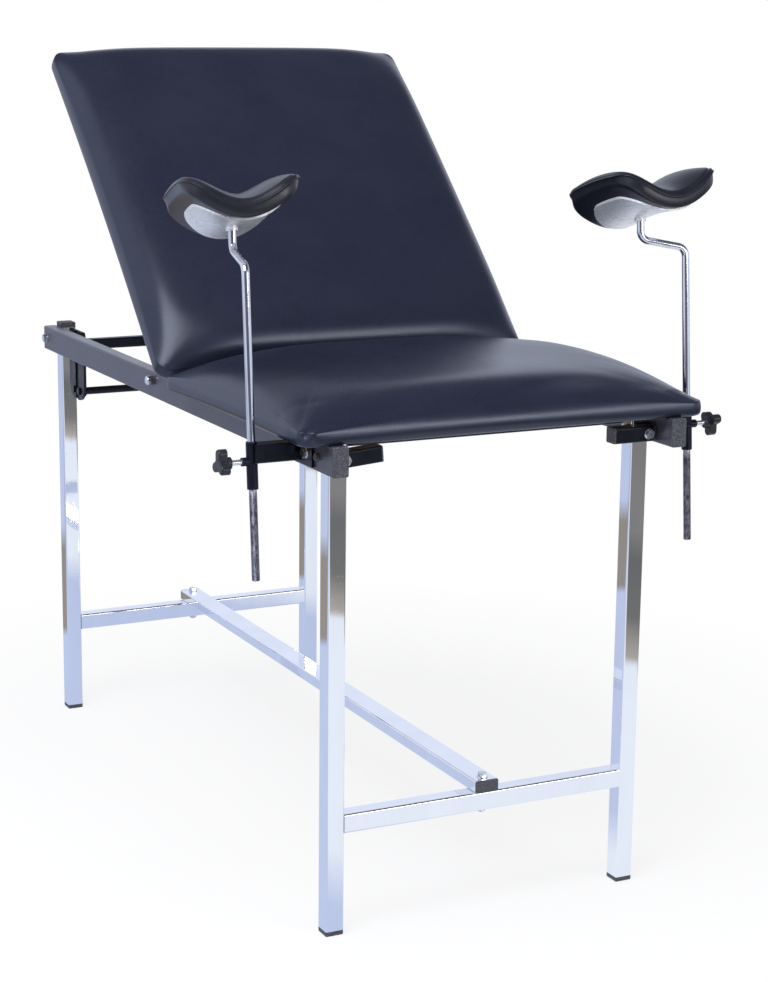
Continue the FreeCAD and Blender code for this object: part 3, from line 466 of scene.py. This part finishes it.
class Cushion:
    """A taut upholstered pad about the origin, its underside near z = 0: an upright band that is low and
    crisp at the corners and bulges between them, and a crown that rises from it.

    band: its height at the corners and in the middle of a side; lean: how far its top leans inwards;
    reach, power: how far in and how quickly the crown rises; tail: share of the rise that comes slowly;
    droop: how far from a corner the crown is lower."""

    SLOW_REACH = 0.2
    CORNER_LOSS = 0.45
    FULLNESS = 0.92

    def __init__(self, length, thickness, band, lean, reach, power, tail, droop):
        self.half = np.array((PAD_WIDTH / 2, length / 2))
        self.thickness = thickness
        self.band = band
        self.lean = lean
        self.reach = reach
        self.power = power
        self.tail = tail
        self.droop = droop

    def middle(self, ring):
        """0 at the corners, 1 in the middle of a side."""
        return 1 - np.min(np.abs(ring) / self.half, axis=1) ** 2.2

    def crown(self, ring, band):
        inset = np.maximum(0.0, self.half - np.abs(ring))
        rise = 1 - (1 - self.tail) * (1 - np.minimum(1.0, inset / self.reach)) ** self.power
        rise -= self.tail * (1 - np.minimum(1.0, inset / self.SLOW_REACH)) ** 2
        fall = 1 - self.CORNER_LOSS * np.exp(-(inset ** 2).sum(axis=1) / (2 * self.droop ** 2))
        swelling = np.maximum(0.0, rise[:, 0] * rise[:, 1]) ** self.FULLNESS
        return band + (self.thickness - band) * swelling * fall

    def ring(self, inset):
        """The outline, further in; its corners grow rounder on the way."""
        rounder = 1 + min(2.0, inset / 0.06)
        corner = min(PAD_CORNER * rounder, 0.97 * (self.half.min() - inset))
        return pad_outline(self.half[0] - inset, self.half[1] - inset, corner)

    def mesh(self, name, hem, slack):
        """Closed rings from the underside over the band to the middle of the crown, and how many of their
        points lie below the band's top. The crown starts lower by slack, which the cloth makes up."""
        edge = self.ring(0.0)
        mid = self.middle(edge)
        band = self.band[0] + (self.band[1] - self.band[0]) * mid
        # The band's widest line, its tuck below that line and its lean above it: at the corners, and what
        # the middle of a side adds
        wide = 0.008 + 0.005 * mid
        tuck = 0.0016 + 0.0030 * mid
        lean = 0.0008 + self.lean * mid
        drop = hem(edge)
        inward = -edge / np.linalg.norm(edge, axis=1, keepdims=True)
        levels = [(self.ring(UNDERSIDE_INSET), np.full(len(edge), PAD_UNDERSIDE))]
        for inset in HEM_INSETS:
            levels.append((self.ring(inset), drop))
        for t in (0.0, 0.3, 0.65, 1.0):
            pull = tuck * (1 - t) ** 1.8 + (HEM_ROUND if t == 0 else 0.0)
            levels.append((edge + inward * pull[:, None], drop + (wide - drop) * t))
        for t in (0.3, 0.6, 0.85):
            levels.append((edge + inward * (lean * t ** 2)[:, None], wide + (band - wide) * t))
        below = len(levels) * len(edge)
        for k in range(CROWN_STEPS + 1):
            share = k / CROWN_STEPS
            ring = self.ring(0.965 * self.half.min() * share ** 1.75)
            height = self.crown(ring, band)
            lower = slack * np.clip((height - band) / (0.7 * (self.thickness - band)), 0.0, 1.0)
            levels.append((ring + inward * (lean * (1 - share) ** 3)[:, None], height - lower))
        points = [(x, y, z) for ring, heights in levels for (x, y), z in zip(ring, heights)]
        points.append((0, 0, PAD_UNDERSIDE))
        points.append((0, 0, self.thickness - slack))
        return add_mesh(name, points, rings_to_faces(len(edge), len(levels))), below


def swell(obj, still):
    """Inflates the pad as cloth held up to its band; the first points, up to still, are the held ones.
    The movement is limited and evened out, because the vinyl is taut."""
    start = coordinates(obj.data)
    held = obj.vertex_groups.new(name="held")
    held.add(list(range(still)) + [len(start) - 2], 1.0, "REPLACE")
    cloth = obj.modifiers.new("cloth", "CLOTH")
    cloth.settings.vertex_group_mass = "held"
    cloth.settings.use_pressure = True
    cloth.settings.uniform_pressure_force = CLOTH_PRESSURE
    cloth.settings.effector_weights.gravity = 0.0
    cloth.settings.tension_stiffness = CLOTH_STIFFNESS
    cloth.settings.compression_stiffness = CLOTH_STIFFNESS
    cloth.settings.bending_stiffness = CLOTH_BENDING
    cloth.point_cache.frame_start = 1
    cloth.point_cache.frame_end = CLOTH_FRAMES
    for step in range(1, CLOTH_FRAMES + 1):
        scene.frame_set(step)
    graph = bpy.context.evaluated_depsgraph_get()
    moved = coordinates(obj.evaluated_get(graph).data) - start
    obj.modifiers.clear()
    obj.vertex_groups.clear()
    scene.frame_set(1)
    size = np.linalg.norm(moved, axis=1, keepdims=True)
    moved *= np.minimum(1.0, CLOTH_REACH / np.maximum(size, 1e-9))
    set_coordinates(obj.data, start + evened(obj.data, moved, still))


def evened(mesh, values, still):
    """Averages values over neighbouring points, with the held points kept at rest."""
    pairs = np.empty(len(mesh.edges) * 2, dtype=int)
    mesh.edges.foreach_get("vertices", pairs)
    a, b = pairs.reshape(-1, 2).T
    count = np.bincount(np.concatenate((a, b)), minlength=len(values))[:, None]
    for _ in range(EVENING_ROUNDS):
        total = np.zeros_like(values)
        np.add.at(total, a, values[b])
        np.add.at(total, b, values[a])
        values = 0.5 * values + 0.5 * total / count
        values[:still] = 0.0
    return values


def hump(values, centre, width):
    return np.exp(-((values - centre) / width) ** 2)


def corner_fold(obj, half, sx, sy):
    """Where the vinyl is folded at a corner: the crisp top of the band dips to a point there, and a soft
    crease runs round the corner further in."""
    points = coordinates(obj.data)
    away = normals(obj.data)
    inside = half - points[:, :2] * (sx, sy)
    across = (inside[:, 0] - inside[:, 1]) / math.sqrt(2)
    along = inside.sum(axis=1) / math.sqrt(2)
    dimple = FOLD_LIP * hump(np.abs(across), 0.014, 0.006) - FOLD_DEPTH * hump(across, 0.0, 0.0055)
    dimple *= hump(np.maximum(0.0, along - 0.010), 0.0, 0.012) * hump(points[:, 2], FOLD_HEIGHT, 0.0065)
    crease = -CREASE_DEPTH * hump(np.hypot(inside[:, 0], inside[:, 1]), CREASE_AWAY, 0.0045)
    crease *= np.clip((inside[:, 1] - 0.8 * inside[:, 0]) / 0.03, 0, 1)
    crease *= np.clip((points[:, 2] - 0.020) / 0.012, 0, 1)
    set_coordinates(obj.data, points + away * (dimple + crease)[:, None])


def upholster(name, form, hem, folds):
    pad, still = form.mesh(name, hem, CLOTH_SLACK)
    swell(pad, still)
    for sx, sy in folds:
        corner_fold(pad, form.half, sx, sy)
    dress(pad, FINISHES["vinyl"])
    return pad


def seat_hem(ring):
    """The vinyl is drawn under the board's edge, and lies flat where the seat rests on the rails."""
    x = np.abs(ring[:, 0])
    return np.where((x > RAIL_SPAN[0]) & (x < RAIL_SPAN[1]), HEM_DROP_ON_RAIL, HEM_DROP)


def back_hem(ring):
    return np.full(len(ring), HEM_DROP)


SEAT_FORM = Cushion(length=SEAT_REAR - SEAT_FRONT, thickness=0.0735, band=(0.019, 0.036), lean=0.0075,
                    reach=0.215, power=6.4, tail=0.0, droop=0.10)
BACK_FORM = Cushion(length=BACK_LENGTH, thickness=0.0765, band=(0.022, 0.033), lean=0.0020,
                    reach=0.190, power=9.5, tail=0.06, droop=0.060)
seat = upholster("seat_cushion", SEAT_FORM, seat_hem, ((-1, -1), (1, 1)))
seat.data.transform(Matrix.Translation((0, (SEAT_REAR + SEAT_FRONT) / 2, SEAT_LOW)))
back = upholster("back_cushion", BACK_FORM, back_hem, ())
back.data.transform(Matrix.Translation((0, BACK_START + BACK_LENGTH / 2, BACK_RISE)))
back.data.transform(Matrix.Translation(HINGE) @ Matrix.Rotation(BACK_ANGLE, 4, "X"))
for pad, node, body in ((seat, "seat_pad", "frame"), (back, "back_pad", "backrest")):
    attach(pad, body)
    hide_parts(node)


# Knee crutches

def crutch_point(across, along, depth):
    """A point of a crutch pad: across and along in -1..1, depth 0 on its upper face, 1 on its underside."""
    half = CRUTCH_WIDTH / 2
    height = CRUTCH_DEPTH * ((1 + CRUTCH_CURL) * across ** 2 - CRUTCH_CURL * across ** 4)
    slope = CRUTCH_DEPTH / half * (2 * (1 + CRUTCH_CURL) * across - 4 * CRUTCH_CURL * across ** 3)
    size = math.sqrt(1 + slope * slope)
    over = CRUTCH_CROWN * (1 - along * along) * (1 - across ** 4)
    under = -CRUTCH_THICKNESS * (1 - CRUTCH_THINNING * across ** 4)
    rise = over + (under - over) * depth
    width = half * (1 + (CRUTCH_FLARE - 1) * along * along)
    return Vector((width * across - rise * slope / size, along * CRUTCH_LENGTH / 2,
                   height - CRUTCH_BOW * along * along + rise / size))


def crutch_outline(count):
    """The pad's edge, flattened: round corners, evenly spaced, in -1..1 both ways."""
    half_x, half_y = CRUTCH_WIDTH / 2, CRUTCH_LENGTH / 2
    path = []
    for number in range(len(CORNERS)):
        path += corner_arc(number, half_x, half_y, CRUTCH_CORNER, count // 8)
    path = np.array(path + path[:1])
    mark = np.concatenate(((0,), np.cumsum(np.linalg.norm(np.diff(path, axis=0), axis=1))))
    even = np.arange(count) * mark[-1] / count
    return np.stack((np.interp(even, mark, path[:, 0]) / half_x, np.interp(even, mark, path[:, 1]) / half_y),
                    axis=1)


# Share of the outline and depth through the pad: the upper face, the seam's groove, the rim with its
# bead, the drawn-in lower side and the underside
CRUTCH_RINGS = (
    (0.15, 0.0), (0.3, 0.0), (0.45, 0.0), (0.6, 0.0), (0.74, 0.0), (0.84, 0.0), (0.90, 0.0),
    (0.918, 0.003), (0.928, 0.035), (0.936, 0.085), (0.943, 0.095), (0.950, 0.070), (0.958, 0.030),
    (0.966, 0.030), (0.975, 0.070), (0.980, 0.130), (0.983, 0.180),
    (0.990, 0.190), (0.9985, 0.205), (1.003, 0.235), (1.003, 0.270), (0.998, 0.300), (0.988, 0.318),
    (0.980, 0.345), (0.974, 0.440), (0.964, 0.620), (0.948, 0.800), (0.932, 0.930), (0.910, 0.985),
    (0.87, 1.0), (0.75, 1.0), (0.55, 1.0), (0.35, 1.0), (0.15, 1.0))


def crutch(side):
    edge = crutch_outline(CRUTCH_EDGE_POINTS)
    points = []
    for share, depth in CRUTCH_RINGS:
        for x, y in edge:
            points.append(crutch_point(x * share, y * share, depth))
    points.append(crutch_point(0, 0, 0))
    points.append(crutch_point(0, 0, 1))
    faces = rings_to_faces(len(edge), len(CRUTCH_RINGS))
    pad = add_mesh("crutch_cushion_" + side, points, [tuple(reversed(f)) for f in faces])
    axis = Vector((0, math.sin(ROD_LEAN), math.cos(ROD_LEAN)))
    foot = Vector((SIDES[side] * ROD_FOOT.x, ROD_FOOT.y, ROD_FOOT.z))
    corner = foot + axis * ((ROD_BEND_Z[side] - foot.z) / math.cos(ROD_LEAN))
    heading = ROD_HEADING[side]
    crank = corner + Vector((math.cos(heading) * ROD_OFFSET, math.sin(heading) * ROD_OFFSET, ROD_OFFSET_RISE))
    turn = (Matrix.Rotation(CRUTCH_YAW[side], 4, "Z") @ Matrix.Rotation(-CRUTCH_TILT, 4, "X")
            @ Matrix.Rotation(CRUTCH_ROLL, 4, "Y"))
    pad.data.transform(Matrix.Translation(crank + axis * ROD_STUB) @ turn
                       @ Matrix.Translation((0, -CRUTCH_BACK, CRUTCH_RISE)))
    dress(pad, FINISHES["crutch_foam"])
    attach(pad, "stirrup_" + side)
    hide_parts("crutch_pad_" + side)


for side in SIDES:
    crutch(side)


# Stage: pale floor, the room that the metal mirrors, soft lamps, camera

def floor_finish():
    """White paper round the table; the room's darker floor shows only in what mirrors it."""
    f = Finish("pale_floor", Base_Color=(0.93, 0.935, 0.95, 1), Roughness=0.9, Specular_IOR_Level=0.0)
    path = f.add("ShaderNodeLightPath").outputs
    camera = path["Is Camera Ray"]
    seen = f.math("MAXIMUM", f.math("MAXIMUM", camera, path["Is Glossy Ray"]), path["Is Transmission Ray"])
    length = f.add("ShaderNodeVectorMath")
    length.operation = "LENGTH"
    f.link(f.position(), length.inputs[0])
    axes = f.axes()
    ahead = f.math("SUBTRACT", f.math("MULTIPLY", axes["X"], 0.28), f.math("MULTIPLY", axes["Y"], 0.2))
    mirrored = f.ramp(ahead, (0.09, (0.54, 0.62, 0.84)), (0.16, (0.86, 0.91, 1.0)),
                      (0.592, (0.86, 0.91, 1.0)), (0.612, (0.42, 0.38, 0.34)), (0.66, (0.30, 0.28, 0.25)),
                      (0.72, (0.14, 0.14, 0.13)), (0.90, (0.11, 0.112, 0.113)), (1.0, (0.20, 0.195, 0.19)))
    behind = f.math("SUBTRACT", axes["Y"], f.math("MULTIPLY", axes["X"], 0.64))
    strip = f.math("SUBTRACT", f.between(behind, 1.40, 1.48), f.between(behind, 2.35, 2.65))
    mirrored = f.mix(strip, mirrored, (0.30, 0.265, 0.235))
    glow = f.add("ShaderNodeEmission")
    f.link(f.mix(camera, mirrored, (1.0, 1.0, 1.0)), glow.inputs["Color"])
    paper = f.between(length.outputs["Value"], 0.7, 1.5, 0.82, 1.0)
    share = f.math("ADD", f.math("MULTIPLY", camera, paper),
                   f.math("MULTIPLY", f.math("SUBTRACT", seen, camera), 0.95))
    f.link(f.blend(share, f.shader.outputs["BSDF"], glow.outputs["Emission"]), f.output.inputs["Surface"])
    return f.material


def set_world():
    """White to the camera; what mirrors it sees a pale room, dark overhead and round the camera."""
    world = bpy.data.worlds.new("studio")
    scene.world = world
    world.use_nodes = True
    w = Shading(world.node_tree)
    path = w.add("ShaderNodeLightPath").outputs
    way = w.add("ShaderNodeTexCoord").outputs["Generated"]
    overhead = w.dot(way, (0.35, 0.0, 1.0))
    round_camera = w.math("SUBTRACT", w.dot(way, (-0.70, -1.50, 0.17)), 0.717)
    room = w.ramp(w.math("MAXIMUM", overhead, round_camera), (0.0, (0.76, 0.83, 1.0)),
                  (0.50, (0.78, 0.84, 1.0)), (0.70, (0.15, 0.155, 0.185)), (1.0, (0.13, 0.135, 0.165)))
    ambient = w.add("ShaderNodeBackground", Color=(0.86, 0.90, 1.0, 1), Strength=0.45)
    mirrored = w.add("ShaderNodeBackground")
    w.link(room, mirrored.inputs["Color"])
    white = w.add("ShaderNodeBackground", Color=(1, 1, 1, 1))
    lit = w.blend(path["Is Glossy Ray"], ambient.outputs["Background"], mirrored.outputs["Background"])
    through = w.math("MAXIMUM", path["Is Camera Ray"], path["Is Transmission Ray"])
    out = w.add("ShaderNodeOutputWorld")
    w.link(w.blend(through, lit, white.outputs["Background"]), out.inputs["Surface"])


def lamp(name, place, target, size, power, colour, mirrored):
    data = bpy.data.lights.new(name, "AREA")
    data.shape = "RECTANGLE"
    data.size, data.size_y = size
    data.energy = power
    data.color = colour
    obj = bpy.data.objects.new(name, data)
    obj.location = place
    way = Vector(target) - Vector(place)
    obj.rotation_euler = way.to_track_quat("-Z", "Y").to_euler()
    obj.visible_glossy = mirrored
    scene.collection.objects.link(obj)


def set_camera():
    azimuth, pitch, roll = (math.radians(v) for v in CAMERA_ANGLES)
    back_way = Vector((math.sin(azimuth) * math.cos(pitch), -math.cos(azimuth) * math.cos(pitch),
                       math.sin(pitch)))
    right = (-back_way).cross(Vector((0, 0, 1))).normalized()
    up = right.cross(-back_way)
    right_turned = right * math.cos(roll) + up * math.sin(roll)
    up_turned = up * math.cos(roll) - right * math.sin(roll)
    data = bpy.data.cameras.new("camera")
    data.sensor_width = CAMERA_SENSOR
    data.lens = CAMERA_LENS
    obj = bpy.data.objects.new("camera", data)
    scene.collection.objects.link(obj)
    turn = Matrix((right_turned, up_turned, back_way)).transposed()
    obj.matrix_world = Matrix.Translation(CAMERA_PLACE) @ turn.to_4x4()
    scene.camera = obj


floor = add_mesh("floor", [(FLOOR_HALF * x, FLOOR_HALF * y, -FLOOR_DROP) for x, y in CORNERS], [(0, 1, 2, 3)])
floor.data.materials.append(floor_finish())
set_world()
lamp("overhead", (-0.6, -0.6, 3.4), (0, 0, 0.6), (2.6, 2.6), 52, (0.97, 0.98, 1.0), False)
lamp("left_panel", (-1.7, -1.5, 3.0), (-0.2, 0, 0.9), (1.9, 1.9), 58, (0.96, 0.98, 1.0), True)
lamp("front_panel", (1.6, -3.7, 1.45), (0, -0.6, 0.85), (1.5, 0.7), 22, (1.0, 0.99, 0.97), True)
set_camera()
